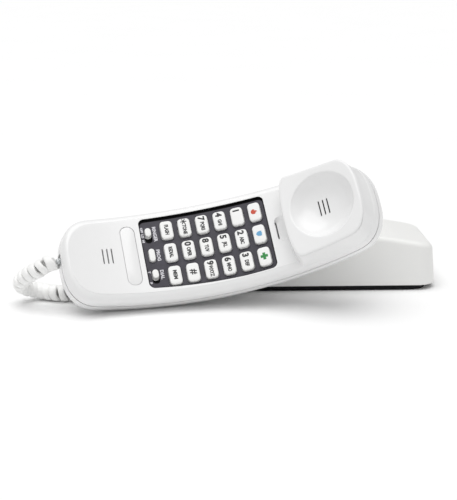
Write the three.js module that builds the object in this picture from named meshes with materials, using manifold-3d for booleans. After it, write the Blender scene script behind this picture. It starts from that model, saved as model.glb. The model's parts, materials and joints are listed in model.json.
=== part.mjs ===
// Slimline corded telephone: a curved handset that carries the keypad in its grip, laid off-hook
// against its wall/desk base. Millimetres, +Z up. The origin is the centre of the base plate's
// underside, +X runs along the base towards its earpiece end and -Y is its front.
import * as THREE from 'three';
import { mergeVertices } from 'three/addons/utils/BufferGeometryUtils.js';
import Module from 'manifold-3d';

const wasm = await Module();
wasm.setup();

// ---------------------------------------------------------------- driving dimensions
const gap = 0.3; // clearance kept between touching pieces
const degree = Math.PI / 180;

const handset = {
  position: new THREE.Vector3(-46.9, -64.1, 41.9),
  yaw: 2.1 * degree,
  climb: 11.1 * degree,
  tilt: 51.8 * degree,
  bendRadius: 200, // of the concave face
  mouthEnd: -103.6, // along the face, from the middle of the keypad
  earEnd: 111,
  halfWidth: 33.5,
  sideBow: 2.7, // how much narrower each side is, 85 mm from the middle
  mouthCorner: { length: 24, power: 2.5 },
  earCorner: { length: 22, power: 2.6 },
};
// [depth, inset] rings of the two housings, outside and inside
const frontOutside = [[-10, 0], [-5, 0.2], [-2.5, 0.85], [-0.7, 2.6], [0, 5]];
const frontInside = [[-11.5, 2.3], [-5.6, 2.7], [-3.6, 5.2]];
const backOutside = [
  [-10.3, 0], [-15, 0.3], [-18, 1.1], [-20.4, 2.8], [-22.5, 5.8], [-23.9, 10], [-24.5, 16],
];
const backInside = [
  [-9.2, 2.3], [-15, 2.7], [-17.6, 3.6], [-19.4, 5.2], [-20.9, 8], [-21.8, 12], [-22.2, 17],
];
const housingStations = { count: 19, steps: [0.2, 1.3, 3.6, 7.6, 13, 20] };

const earBlock = { start: 50.5, height: 12, corner: { length: 8, power: 2.4 } };
// [depth, side inset, shift of the sloping mouth-side wall, shift of the outer end wall, length of
// the outer corners]
const earBlockRings = [
  [-7, 0.9, -2, 0.6, 22], [0, 1.1, 0, 0.8, 20], [8, 2.2, 1.2, 0.9, 17], [11, 3, 1.9, 1.1, 15],
  [12, 4.2, 3.1, 2.2, 15],
];
const earBlockStations = { count: 5, steps: [0.2, 1.2, 3.2, 7, 13] };
const dish = { s: 80.8, v: 0.7, radius: 22.4, depth: 6.6 };
const receiverRoom = { length: 50, width: 45, corner: 10, low: -6, high: 3 };
const slotSize = { length: 11, width: 0.9, pitch: 3.1, count: 3 };
const mouthSlots = { s: -73.8, v: 1.2 };
const notch = { s: 46.2, length: 8, width: 23, corner: 2.5, depth: 3.2 };

const panel = { start: -49, end: 38, sideMargin: 6.3, corner: 3.6, top: -0.7, thickness: 1.2 };
const recessFloor = panel.top - panel.thickness - gap;
const windowLedge = 1.6;
const badge = { s: -57.9, v: 0.4, length: 43, width: 9.6, corner: 4.5, sink: 0.15, thickness: 0.9 };

const keyGrid = { pitchAlong: 12.3, pitchAcross: 16.86, middle: -0.8 };
const keySize = { along: 8.4, across: 13.2, corner: 2.4, top: 1.4, flange: 0.5, slack: 0.35 };
const keyTravel = 1.5;
const flange = { depth: 0.5, below: 0.4 }; // of a cap, behind the panel
const keyNames = [
  ['key_flash', 'key_redial', 'key_memory'],
  ['key_star', 'key_0', 'key_hash'],
  ['key_7', 'key_8', 'key_9'],
  ['key_4', 'key_5', 'key_6'],
  ['key_1', 'key_2', 'key_3'],
  ['key_fire', 'key_police', 'key_medical'],
];
const controlColumn = -43.7;
const controlCap = { corner: 1.2, top: 0.9 };
const controls = [
  { name: 'ringer_switch', v: 16.3, along: 4.2, across: 6.3, slide: 4 },
  { name: 'prog_button', v: -0.8, along: 4.2, across: 9.3, slide: 0 },
  { name: 'dial_mode_switch', v: -14.8, along: 4.2, across: 6.3, slide: 3 },
];

const screwPlaces = [
  { name: 'handset_screw_mouth', s: -60 },
  { name: 'handset_screw_ear', s: 52 },
];
const handsetPost = { radius: 4, bore: 1.7, counterbore: 2.9, seat: -17.2, low: -23, high: -12 };

const handsetScrew = { head: 2.5, shank: 1.3, low: -20, seat: -18, neck: -17.4, tip: -7 };

// pieces inside the handset, on axes that leave the face, by radius and depth
const receiver = { radius: 18, low: -7.5, high: 1.4 };
const gasket = { hole: 14, radius: 18.6, low: 1.75, high: 2.7 };
const microphone = { radius: 4.85, low: -9.2, high: -4.7 };
const boot = { hole: 5.2, radius: 7.6, low: -9.6, high: -4 };
const toneSounder = { s: -22, radius: 11, low: -14 };
const handsetWeight = { s: 22, length: 30, width: 26, corner: 2, low: -18.5, high: -12.5 };
const boardMargin = 0.8; // how far the key mat and board reach past the panel

// under the keys at the end of their travel
const flangeBottom = panel.top - panel.thickness - 2 * flange.below - flange.depth;
const mat = { top: flangeBottom - keyTravel - 0.4, thickness: 1.2 };
const board = { top: mat.top - mat.thickness - 0.4, thickness: 1.6 };

const base = {
  length: 224,
  width: 76,
  corner: 14,
  bottom: 3.7, // height of the shell's lower edge
  crown: 43.3, // height of the top at mid length
  archRadius: 515,
  draft: Math.tan(8 * degree), // of the long sides
  endDraft: Math.tan(4.5 * degree),
  wall: 2.5,
};
const plate = { length: 212, width: 73.4, corner: 14, thickness: 3.4, floor: 2 };
const seat = { start: 44.5, floor: 36.8, width: 56, end: 86 };
const plunger = {
  x: 62, radius: 3, rise: 5, foot: 22, collar: 5, collarThickness: 1.6, tip: 1.8, chamfer: 1.4,
};
const plungerHole = plunger.radius + 0.4;
const plungerSpring = { hole: 3.2, radius: 4.6, low: 16.2 };
const hookSwitch = { length: 14, width: 12, low: 10, high: 15.9 };
const tab = { x: 39.5, width: 9, thickness: 2.2, bottom: 32, top: 45.8 };
const keyhole = { spacing: 100, head: 4.6, slot: 2.4, length: 9 };
const foot = { x: 88, y: 26, radius: 6, thickness: 1.2 };
const screwPost = { x: 57, y: 24, radius: 3.6, pilot: 1.5, pilotEnd: 16 };
const baseScrew = { head: 2.8, shank: 1.2, low: 0.2, seat: 1, tip: 14 };
const screwHole = { shank: 1.6, head: 3.1, depth: 1.3 };
const baseBoard = { start: -40, end: 71, halfWidth: 17, low: 8, high: 9.6 };
const baseWeight = { start: -36, end: 30, halfWidth: 15, low: 3.7, high: 7.6 };
const ringer = { x: -20, radius: 13, low: 10, high: 17 };

const plug = { along: 12, width: 7.6, height: 5.6, tail: 3, neck: 1.9, latch: 1.6, latchRise: 0.3 };
const jack = { along: 13, width: 12, height: 7.6, back: 1.4, face: 4.2, room: 0.4 };
const plugSlack = 0.7;
const handsetJack = { s: -101.6, v: 4.5, depth: -12.8, lift: 9 * degree };
const baseJack = { x: -75, z: 12 };
const lineJack = { y: 0, z: 12 };

const cord = { radius: 5.5, sides: 10, steps: 50 };
// middle of the curly cord, from the handset's plug to the base's plug
const cordRoute = [
  [-154.6, -76.9, 33.6],
  [-158.4, -77.5, 32.7],
  [-162.0, -77.7, 30.8],
  [-165.8, -76.9, 28.2],
  [-170.4, -74.7, 25.5],
  [-174.8, -71.4, 22.0],
  [-178.3, -67.1, 18.0],
  [-179.5, -61.7, 13.6],
  [-177.2, -56.2, 10.0],
  [-172.3, -52.5, 7.7],
  [-166.2, -51.9, 6.2],
  [-159.0, -54.4, 5.8],
  [-151.9, -56.6, 5.8],
  [-143.6, -55.6, 5.8],
  [-135.0, -50.8, 5.8],
  [-128.4, -41.4, 5.8],
  [-124.8, -28.0, 5.8],
  [-123.6, -10.0, 5.8],
  [-123.6, 12.0, 5.8],
  [-122.8, 32.0, 5.8],
  [-119.8, 50.0, 5.8],
  [-111.6, 64.8, 5.9],
  [-98.8, 72.0, 6.4],
  [-86.4, 70.8, 8.0],
  [-78.6, 63.6, 10.2],
  [-75.4, 53.6, 11.6],
  [-75.0, 46.0, 12.0],
  [-75.0, 40.2, 12.0],
];

// ---------------------------------------------------------------- materials
const white = new THREE.MeshStandardMaterial({ color: 0xf4f4f2, roughness: 0.28, metalness: 0 });
const keyWhite = new THREE.MeshStandardMaterial({ color: 0xf8f8f6, roughness: 0.4, metalness: 0 });
const charcoal = new THREE.MeshStandardMaterial({ color: 0x3f3a42, roughness: 0.5, metalness: 0 });
const black = new THREE.MeshStandardMaterial({ color: 0x0c0c0d, roughness: 0.5, metalness: 0 });
const rubber = new THREE.MeshStandardMaterial({ color: 0x4a4a4c, roughness: 0.85, metalness: 0 });
const boardGreen = new THREE.MeshStandardMaterial({ color: 0x1f5a34, roughness: 0.55, metalness: 0 });
const steel = new THREE.MeshStandardMaterial({ color: 0xa9abad, roughness: 0.35, metalness: 1 });
const clear = new THREE.MeshStandardMaterial({ color: 0xdfe6e8, roughness: 0.15, metalness: 0 });
const cordWhite = new THREE.MeshStandardMaterial({ color: 0xf1f1ee, roughness: 0.4, metalness: 0 });

// ---------------------------------------------------------------- solids and meshes
function toSolid(geometry) {
  const bare = geometry.clone();
  bare.deleteAttribute('normal');
  bare.deleteAttribute('uv');
  const merged = mergeVertices(bare, 1e-4);
  const vertProperties = new Float32Array(merged.attributes.position.array);
  const triVerts = new Uint32Array(merged.index.array);
  return new wasm.Manifold(new wasm.Mesh({ numProp: 3, vertProperties, triVerts }));
}

function toGeometry(solid) {
  const mesh = solid.getMesh();
  const geometry = new THREE.BufferGeometry();
  geometry.setAttribute('position', new THREE.BufferAttribute(new Float32Array(mesh.vertProperties), 3));
  geometry.setIndex(new THREE.BufferAttribute(new Uint32Array(mesh.triVerts), 1));
  geometry.computeVertexNormals();
  return geometry;
}

function named(name, solid, material) {
  const mesh = new THREE.Mesh(toGeometry(solid), material);
  mesh.name = name;
  return mesh;
}

function placed(geometry, matrix) {
  return toSolid(geometry.clone().applyMatrix4(matrix));
}

// Joins rings of equally many points into one closed solid. Each ring is symmetric about its middle
// index, so its two halves face each other and the ends close in strips that follow the curve.
function stack(rings) {
  const count = rings[0].length;
  const positions = [];
  const index = [];
  rings.forEach((ring) => ring.forEach((p) => positions.push(p.x, p.y, p.z)));
  for (let r = 0; r < rings.length - 1; r += 1) {
    for (let i = 0; i < count; i += 1) {
      const a = r * count + i;
      const b = r * count + ((i + 1) % count);
      index.push(a, b, b + count, a, b + count, a + count);
    }
  }
  const top = (rings.length - 1) * count;
  for (let i = 0; i < count / 2 - 1; i += 1) {
    const j = count - 1 - i;
    index.push(i, j, j - 1, i, j - 1, i + 1);
    index.push(top + i, top + i + 1, top + j - 1, top + i, top + j - 1, top + j);
  }
  const geometry = new THREE.BufferGeometry();
  geometry.setAttribute('position', new THREE.Float32BufferAttribute(positions, 3));
  geometry.setIndex(index);
  const solid = toSolid(geometry);
  if (solid.volume() > 0) {
    return solid;
  }
  geometry.setIndex(index.reverse());
  return toSolid(geometry);
}

function roundedOutline(length, width, corner, steps = 4) {
  const shape = new THREE.Shape();
  const x = length / 2 - corner;
  const y = width / 2 - corner;
  const centres = [[x, y], [-x, y], [-x, -y], [x, -y]];
  centres.forEach(([cx, cy], quarter) => {
    for (let i = 0; i <= steps; i += 1) {
      const angle = (quarter + i / steps) * Math.PI / 2;
      const px = cx + corner * Math.cos(angle);
      const py = cy + corner * Math.sin(angle);
      if (quarter === 0 && i === 0) {
        shape.moveTo(px, py);
      } else {
        shape.lineTo(px, py);
      }
    }
  });
  return shape;
}

function prism(shape, low, high) {
  const geometry = new THREE.ExtrudeGeometry(shape, { depth: high - low, bevelEnabled: false, steps: 1 });
  return geometry.translate(0, 0, low);
}

function block(length, width, corner, low, high, steps = 2) {
  return prism(roundedOutline(length, width, corner, steps), low, high);
}

function box(x0, x1, y0, y1, z0, z1) {
  const geometry = new THREE.BoxGeometry(x1 - x0, y1 - y0, z1 - z0);
  return geometry.translate((x0 + x1) / 2, (y0 + y1) / 2, (z0 + z1) / 2);
}

// a solid of revolution about Z from [radius, height] pairs
function turned(profile, segments = 24) {
  const points = profile.map(([radius, height]) => new THREE.Vector2(radius, height));
  return new THREE.LatheGeometry(points, segments).rotateX(Math.PI / 2);
}

function disc(radius, low, high, segments = 24) {
  return turned([[0, low], [radius, low], [radius, high], [0, high]], segments);
}

function ring(inner, outer, low, high, segments = 24) {
  return turned([[inner, low], [outer, low], [outer, high], [inner, high], [inner, low]], segments);
}

// ---------------------------------------------------------------- the handset's curved frame
function bend(s, v, n) {
  const angle = s / handset.bendRadius;
  const radius = handset.bendRadius - n;
  return new THREE.Vector3(radius * Math.sin(angle), v, handset.bendRadius - radius * Math.cos(angle));
}

// frame whose Z leaves the face at distance s along it and v across it
function atFace(s, v, n = 0) {
  const matrix = new THREE.Matrix4().makeRotationY(-s / handset.bendRadius);
  return matrix.setPosition(bend(s, v, n));
}

// share of the full width at a distance from an end whose corner is a superellipse
function endFactor(distance, corner) {
  const t = Math.min(Math.max(distance / corner.length, 0), 1);
  return (1 - (1 - t) ** corner.power) ** (1 / corner.power);
}

function sideAt(s) {
  return handset.halfWidth - handset.sideBow * (s / 85) ** 2;
}

// distances along the face: close together near both ends, with `count` equal steps between
function stationsBetween(start, end, { count, steps }) {
  const reach = steps.at(-1);
  const pitch = (end - start - 2 * reach) / count;
  const middle = Array.from({ length: count - 1 }, (_, i) => start + reach + pitch * (i + 1));
  return [...steps.map((d) => start + d), ...middle, ...steps.map((d) => end - d).reverse()];
}

function symmetricRing(stations, halfWidthAt, n) {
  const far = stations.map((s) => bend(s, halfWidthAt(s), n));
  const near = stations.map((s) => bend(s, -halfWidthAt(s), n)).reverse();
  return [...far, ...near];
}

function housingRing(n, inset) {
  const start = handset.mouthEnd + inset;
  const end = handset.earEnd - inset;
  const stretch = (end - start) / (handset.earEnd - handset.mouthEnd);
  const stations = stationsBetween(handset.mouthEnd, handset.earEnd, housingStations);
  const moved = stations.map((s) => start + (s - handset.mouthEnd) * stretch);
  const halfWidthAt = (s) => {
    const ends = Math.min(endFactor(s - start, handset.mouthCorner), endFactor(end - s, handset.earCorner));
    return (sideAt(s) - inset) * ends;
  };
  return symmetricRing(moved, halfWidthAt, n);
}

function earBlockRing([n, inset, startShift, endShift, cornerLength]) {
  const start = earBlock.start + startShift;
  const end = handset.earEnd - endShift;
  const stations = stationsBetween(start, end, earBlockStations);
  const endCorner = { length: cornerLength, power: handset.earCorner.power };
  const halfWidthAt = (s) => {
    const ends = Math.min(endFactor(s - start, earBlock.corner), endFactor(end - s, endCorner));
    return (sideAt(s) - inset) * ends;
  };
  return symmetricRing(stations, halfWidthAt, n);
}

// plate that follows the face between the panel's ends, grown by `grow`, from depth `low` to `high`
function panelSolid(grow, low, high) {
  const start = panel.start - grow;
  const end = panel.end + grow;
  const corner = panel.corner + grow;
  const steps = [0.02, 0.25, 0.6, 1].map((t) => t * corner);
  const stations = stationsBetween(start, end, { count: 9, steps });
  const halfWidthAt = (s) => {
    const inward = Math.min(s - start, end - s, corner);
    const drop = corner - Math.sqrt(corner ** 2 - (corner - inward) ** 2);
    return sideAt(s) - panel.sideMargin + grow - drop;
  };
  return stack([symmetricRing(stations, halfWidthAt, low), symmetricRing(stations, halfWidthAt, high)]);
}

function gridPlace(column, row) {
  const s = (column - 2.5) * keyGrid.pitchAlong;
  const v = keyGrid.middle + (1 - row) * keyGrid.pitchAcross;
  return { s, v };
}

// three parallel sound slots, along v
function soundSlots(s, v, low, high) {
  const middle = (slotSize.count - 1) / 2;
  const slots = Array.from({ length: slotSize.count }, (_, i) => {
    const shape = roundedOutline(slotSize.width, slotSize.length, slotSize.width / 2 - 0.02, 2);
    return placed(prism(shape, low, high), atFace(s + (i - middle) * slotSize.pitch, v));
  });
  return slots.reduce((all, slot) => all.add(slot));
}

// frame of the handset's cord socket: +Z points out of the mouth end
function handsetJackFrame() {
  const outward = new THREE.Vector3(-Math.cos(handsetJack.lift), 0, Math.sin(handsetJack.lift));
  const across = new THREE.Vector3(0, 1, 0);
  const matrix = new THREE.Matrix4().makeBasis(across.clone().cross(outward), across, outward);
  return matrix.setPosition(bend(handsetJack.s, handsetJack.v, handsetJack.depth));
}

// cutter through a wall in front of a jack
function plugOpening() {
  const x = plug.height / 2 + plugSlack;
  const y = plug.width / 2 + plugSlack;
  return box(-x, x, -y, y, -9, 8);
}

// ---------------------------------------------------------------- handset pieces
const dishFloor = earBlock.height - dish.depth;

function dishCutter() {
  const above = earBlock.height + 2;
  const bowl = [
    [0, dishFloor], [8, dishFloor + 0.2], [14.5, dishFloor + 1.9], [19.4, dishFloor + 4.4],
    [dish.radius, earBlock.height],
  ];
  const profile = [...bowl, [dish.radius + 0.6, above], [0, above]];
  return placed(turned(profile, 36), atFace(dish.s, dish.v));
}

function badgeCutter() {
  const floor = -badge.thickness - gap - badge.sink;
  const outline = block(badge.width + 2 * gap, badge.length + 2 * gap, badge.corner + gap, floor, 2, 4);
  return placed(outline, atFace(badge.s, badge.v));
}

function frontHousing() {
  const above = 3;
  let solid = stack(frontOutside.map(([n, inset]) => housingRing(n, inset)));
  solid = solid.add(stack(earBlockRings.map(earBlockRing)));
  solid = solid.subtract(stack(frontInside.map(([n, inset]) => housingRing(n, inset))));
  const room = block(
    receiverRoom.length, receiverRoom.width, receiverRoom.corner, receiverRoom.low, receiverRoom.high, 4,
  );
  solid = solid.subtract(placed(room, atFace(dish.s, 0)));
  solid = solid.subtract(dishCutter());
  solid = solid.subtract(soundSlots(dish.s, dish.v, receiverRoom.high - 2, dishFloor + above));
  solid = solid.subtract(soundSlots(mouthSlots.s, mouthSlots.v, frontInside[2][0] - 2, above));
  solid = solid.subtract(panelSolid(gap, recessFloor, above));
  solid = solid.subtract(panelSolid(-windowLedge, frontInside[1][0] - 2, above));
  solid = solid.subtract(badgeCutter());
  const notchCut = block(notch.length, notch.width, notch.corner, -notch.depth, above);
  solid = solid.subtract(placed(notchCut, atFace(notch.s, 0)));
  solid = solid.subtract(placed(plugOpening(), handsetJackFrame()));
  return named('handset_front_housing', solid, white);
}

function backHousing() {
  let solid = stack(backOutside.map(([n, inset]) => housingRing(n, inset)));
  solid = solid.subtract(stack(backInside.map(([n, inset]) => housingRing(n, inset))));
  const { radius, bore, counterbore, seat: postSeat, low, high } = handsetPost;
  screwPlaces.forEach(({ s }) => {
    solid = solid.add(placed(disc(radius, low, high, 12), atFace(s, 0)));
    solid = solid.subtract(placed(disc(counterbore, low - 7, postSeat, 12), atFace(s, 0)));
    solid = solid.subtract(placed(disc(bore, postSeat - 1, high + 4, 12), atFace(s, 0)));
  });
  solid = solid.subtract(placed(plugOpening(), handsetJackFrame()));
  return named('handset_back_housing', solid, white);
}

function handsetScrews() {
  return screwPlaces.map(({ name, s }) => {
    const { head, shank, low, seat: headSeat, neck, tip } = handsetScrew;
    const profile = [[0, low], [head, low], [head, headSeat], [shank, neck], [shank, tip - 1], [0, tip]];
    return named(name, placed(turned(profile, 12), atFace(s, 0)), steel);
  });
}

function keypadPanel() {
  let solid = panelSolid(0, panel.top - panel.thickness, panel.top);
  const { along, across, corner, slack } = keySize;
  const low = panel.top - panel.thickness - 2;
  const high = panel.top + 2;
  const keyHole = block(along + 2 * slack, across + 2 * slack, corner + slack, low, high);
  keyNames.forEach((rows, column) => {
    rows.forEach((_, row) => {
      const { s, v } = gridPlace(column, row);
      solid = solid.subtract(placed(keyHole, atFace(s, v)));
    });
  });
  controls.forEach((control) => {
    const reach = control.across + control.slide + 2 * slack;
    const opening = block(control.along + 2 * slack, reach, controlCap.corner + 0.2, low, high);
    solid = solid.subtract(placed(opening, atFace(controlColumn, control.v - control.slide / 2)));
  });
  return named('keypad_panel', solid, charcoal);
}

// a push-through cap with a retaining flange behind the panel
function cap(along, across, corner, top) {
  const behind = panel.top - panel.thickness - flange.below;
  const rim = 0.45;
  const wide = keySize.flange;
  const stem = toSolid(block(along, across, corner, behind - flange.depth, top - 0.6));
  const crown = toSolid(block(along - 2 * rim, across - 2 * rim, corner - rim, top - 0.7, top));
  const skirt = toSolid(block(along + 2 * wide, across + 2 * wide, corner, flangeBottom, behind));
  return stem.add(crown).add(skirt);
}

function atFaceMesh(name, solid, material, s, v) {
  const mesh = named(name, solid, material);
  mesh.applyMatrix4(atFace(s, v));
  return mesh;
}

function keys() {
  const { along, across, corner, top } = keySize;
  const keycap = cap(along, across, corner, top);
  return keyNames.flatMap((rows, column) => rows.map((name, row) => {
    const { s, v } = gridPlace(column, row);
    return atFaceMesh(name, keycap, keyWhite, s, v);
  }));
}

function controlCaps() {
  return controls.map(({ name, v, along, across }) => {
    const solid = cap(along, across, controlCap.corner, controlCap.top);
    return atFaceMesh(name, solid, keyWhite, controlColumn, v);
  });
}

function badgePlate() {
  const floor = -badge.thickness - badge.sink;
  const plateSolid = block(badge.width, badge.length, badge.corner, floor, -badge.sink, 4);
  return named('badge_plate', placed(plateSolid, atFace(badge.s, badge.v)), white);
}

function handsetInsides() {
  const keyMat = panelSolid(boardMargin, mat.top - mat.thickness, mat.top);
  const circuit = panelSolid(boardMargin, board.top - board.thickness, board.top);
  const capsule = disc(receiver.radius, receiver.low, receiver.high, 24);
  const washer = ring(gasket.hole, gasket.radius, gasket.low, gasket.high, 24);
  const electret = disc(microphone.radius, microphone.low, microphone.high, 16);
  const sleeve = ring(boot.hole, boot.radius, boot.low, boot.high, 16);
  const sounder = disc(toneSounder.radius, toneSounder.low, board.top - board.thickness - gap, 20);
  const { length, width, corner, low, high } = handsetWeight;
  const ballast = block(length, width, corner, low, high, 2);
  return [
    named('key_mat', keyMat, rubber),
    named('handset_board', circuit, boardGreen),
    named('receiver_capsule', placed(capsule, atFace(dish.s, dish.v)), black),
    named('receiver_gasket', placed(washer, atFace(dish.s, dish.v)), rubber),
    named('microphone_capsule', placed(electret, atFace(mouthSlots.s, mouthSlots.v)), steel),
    named('microphone_boot', placed(sleeve, atFace(mouthSlots.s, mouthSlots.v)), rubber),
    named('tone_sounder', placed(sounder, atFace(toneSounder.s, 0)), black),
    named('handset_ballast', placed(ballast, atFace(handsetWeight.s, 0)), steel),
  ];
}

// ---------------------------------------------------------------- modular jacks and plugs
// Both are built with +Z pointing out of the wall, whose outside is at z = 0.
function jackSolid() {
  const { along, width, height, back, face } = jack;
  const body = toSolid(box(-height / 2, height / 2, -width / 2, width / 2, -face - along, -face));
  const x = plug.height / 2 + jack.room - 0.1;
  const y = plug.width / 2 + jack.room;
  return body.subtract(toSolid(box(-x, x, -y, y, -face - along + back, 0)));
}

function plugSolid() {
  const { along, width, height, tail, neck: neckRadius, latch: latchSide, latchRise } = plug;
  const x = height / 2 - latchRise;
  const body = toSolid(box(-x, x, -width / 2, width / 2, -along, 0));
  const latch = toSolid(box(x - 0.1, x + latchRise, -latchSide, latchSide, -along + 1, -1));
  const neck = toSolid(disc(neckRadius, -0.2, tail, 10));
  return body.add(latch).add(neck);
}

function meshIn(frame, name, solid, material) {
  const mesh = named(name, solid, material);
  mesh.applyMatrix4(frame);
  return mesh;
}

function baseJackFrame() {
  const outside = base.width / 2 - (baseJack.z - base.bottom) * base.draft;
  const outward = new THREE.Vector3(0, 1, 0);
  const across = new THREE.Vector3(1, 0, 0);
  const matrix = new THREE.Matrix4().makeBasis(across.clone().cross(outward), across, outward);
  return matrix.setPosition(baseJack.x, outside, baseJack.z);
}

function lineJackFrame() {
  const outside = -base.length / 2 + (lineJack.z - base.bottom) * base.endDraft;
  const outward = new THREE.Vector3(-1, 0, 0);
  const across = new THREE.Vector3(0, 1, 0);
  const matrix = new THREE.Matrix4().makeBasis(across.clone().cross(outward), across, outward);
  return matrix.setPosition(outside, lineJack.y, lineJack.z);
}

// ---------------------------------------------------------------- base pieces
function archHeight(x) {
  return base.crown - x ** 2 / (2 * base.archRadius);
}

// outlines of the drafted base at two heights
function baseOutlines(inset, low, high) {
  return [low, high].map((z) => {
    const length = base.length - 2 * (inset + (z - base.bottom) * base.endDraft);
    const width = base.width - 2 * (inset + (z - base.bottom) * base.draft);
    const outline = roundedOutline(length, width, base.corner - inset / 2, 5);
    return outline.getPoints().map((p) => new THREE.Vector3(p.x, p.y, z));
  });
}

// tapered block from two outlines, whose first quarter is moved to their end so that each ring
// starts at the middle of a long side
function solidFromOutlines(rings) {
  const quarter = rings[0].length / 4;
  return stack(rings.map((points) => [...points.slice(quarter), ...points.slice(0, quarter)]));
}

// everything below the arched top, lowered by `lower`
function underArch(lower) {
  const shape = new THREE.Shape();
  const reach = base.length / 2 + 5;
  const count = 22;
  shape.moveTo(-reach, -5);
  shape.lineTo(reach, -5);
  for (let i = count; i >= -count; i -= 2) {
    const x = (reach * i) / count;
    shape.lineTo(x, archHeight(x) - lower);
  }
  return toSolid(prism(shape, -60, 60).rotateX(Math.PI / 2));
}

function baseShell() {
  const outside = solidFromOutlines(baseOutlines(0, base.bottom, base.crown + 6)).intersect(underArch(0));
  const inside = solidFromOutlines(baseOutlines(base.wall, base.bottom - 3, base.crown + 4));
  let cavity = inside.intersect(underArch(base.wall));
  const seatMiddle = (seat.start + seat.end) / 2;
  const seatLength = seat.end - seat.start;
  const shelf = block(seatLength + 8, seat.width + 8, 6, seat.floor - base.wall, 60);
  cavity = cavity.subtract(toSolid(shelf.translate(seatMiddle, 0, 0)));
  let solid = outside.subtract(cavity);
  screwPosts().forEach(([x, y]) => {
    const post = disc(screwPost.radius, base.bottom + 0.4, base.crown, 12).translate(x, y, 0);
    const pilot = disc(screwPost.pilot, 0, screwPost.pilotEnd, 12).translate(x, y, 0);
    solid = solid.add(toSolid(post).intersect(underArch(1))).subtract(toSolid(pilot));
  });
  const seatCut = block(seatLength, seat.width, 8, seat.floor, 60, 4);
  solid = solid.subtract(toSolid(seatCut.translate(seatMiddle, 0, 0)));
  solid = solid.subtract(toSolid(disc(plungerHole, 20, 60).translate(plunger.x, 0, 0)));
  const half = tab.thickness / 2 + gap;
  const side = tab.width / 2 + gap;
  solid = solid.subtract(toSolid(box(tab.x - half, tab.x + half, -side, side, 30, 60)));
  solid = solid.subtract(placed(plugOpening(), baseJackFrame()));
  solid = solid.subtract(placed(plugOpening(), lineJackFrame()));
  return named('base_shell', solid, white);
}

function screwPosts() {
  return [-1, 1].flatMap((sx) => [-1, 1].map((sy) => [sx * screwPost.x, sy * screwPost.y]));
}

function basePlate() {
  const { length, width, corner, thickness, floor } = plate;
  let solid = toSolid(block(length, width, corner, 0, thickness, 6));
  solid = solid.subtract(toSolid(block(length - 8, width - 8, corner - 4, floor, thickness + 1, 4)));
  [-1, 1].forEach((side) => {
    const x = (side * keyhole.spacing) / 2;
    const head = toSolid(disc(keyhole.head, -1, 5, 16).translate(x, 0, 0));
    const slot = box(x, x + keyhole.length, -keyhole.slot, keyhole.slot, -1, 5);
    solid = solid.subtract(head).subtract(toSolid(slot));
  });
  footPlaces().forEach(([x, y]) => {
    const pocket = disc(foot.radius + gap, -1, foot.thickness + gap, 20);
    solid = solid.subtract(toSolid(pocket.translate(x, y, 0)));
  });
  screwPosts().forEach(([x, y]) => {
    solid = solid.subtract(toSolid(disc(screwHole.shank, -1, 5, 12).translate(x, y, 0)));
    solid = solid.subtract(toSolid(disc(screwHole.head, -1, screwHole.depth, 12).translate(x, y, 0)));
  });
  return named('base_plate', solid, black);
}

function footPlaces() {
  return [-1, 1].flatMap((sx) => [-1, 1].map((sy) => [sx * foot.x, sy * foot.y]));
}

function feet() {
  const names = ['foot_mouth_front', 'foot_mouth_rear', 'foot_ear_front', 'foot_ear_rear'];
  return footPlaces().map(([x, y], i) => {
    return named(names[i], toSolid(disc(foot.radius, 0, foot.thickness, 20).translate(x, y, 0)), rubber);
  });
}

function baseScrews() {
  const names = ['screw_mouth_front', 'screw_mouth_rear', 'screw_ear_front', 'screw_ear_rear'];
  return screwPosts().map(([x, y], i) => {
    const { head, shank, low, seat: headSeat, tip } = baseScrew;
    const profile = [[0, low], [head, low], [head, headSeat], [shank, headSeat], [shank, tip - 1], [0, tip]];
    return named(names[i], toSolid(turned(profile, 12).translate(x, y, 0)), steel);
  });
}

function hookParts() {
  const head = seat.floor + plunger.rise;
  const under = seat.floor - base.wall - gap;
  const { x: plungerX, radius, foot: footEnd, collar, tip, chamfer } = plunger;
  const collarLow = under - plunger.collarThickness;
  const stem = radius - 0.4;
  const profile = [
    [0, footEnd], [stem, footEnd], [stem, collarLow], [collar, collarLow], [collar, under],
    [radius, under], [radius, head - chamfer], [tip, head], [0, head],
  ];
  const { hole, radius: springRadius, low: springLow } = plungerSpring;
  const spring = ring(hole, springRadius, springLow, collarLow - gap, 16);
  const { length, width, low, high } = hookSwitch;
  const switchBody = box(-length / 2, length / 2, -width / 2, width / 2, low, high);
  const half = tab.thickness / 2;
  const side = tab.width / 2;
  const tabBody = box(tab.x - half, tab.x + half, -side, side, tab.bottom, tab.top);
  return [
    named('hook_plunger', toSolid(turned(profile, 16).translate(plungerX, 0, 0)), white),
    named('plunger_spring', toSolid(spring.translate(plungerX, 0, 0)), steel),
    named('hook_switch', toSolid(switchBody.translate(plungerX, 0, 0)), black),
    named('hang_up_tab', toSolid(tabBody), white),
  ];
}

function baseInsides() {
  const { start, end, halfWidth, low, high } = baseBoard;
  const circuit = toSolid(box(start, end, -halfWidth, halfWidth, low, high));
  const side = baseWeight.halfWidth;
  const slab = box(baseWeight.start, baseWeight.end, -side, side, baseWeight.low, baseWeight.high);
  const sounder = toSolid(disc(ringer.radius, ringer.low, ringer.high, 20).translate(ringer.x, 0, 0));
  return [
    named('base_board', circuit, boardGreen),
    named('base_ballast', toSolid(slab), steel),
    named('ringer_sounder', sounder, black),
  ];
}

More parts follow.
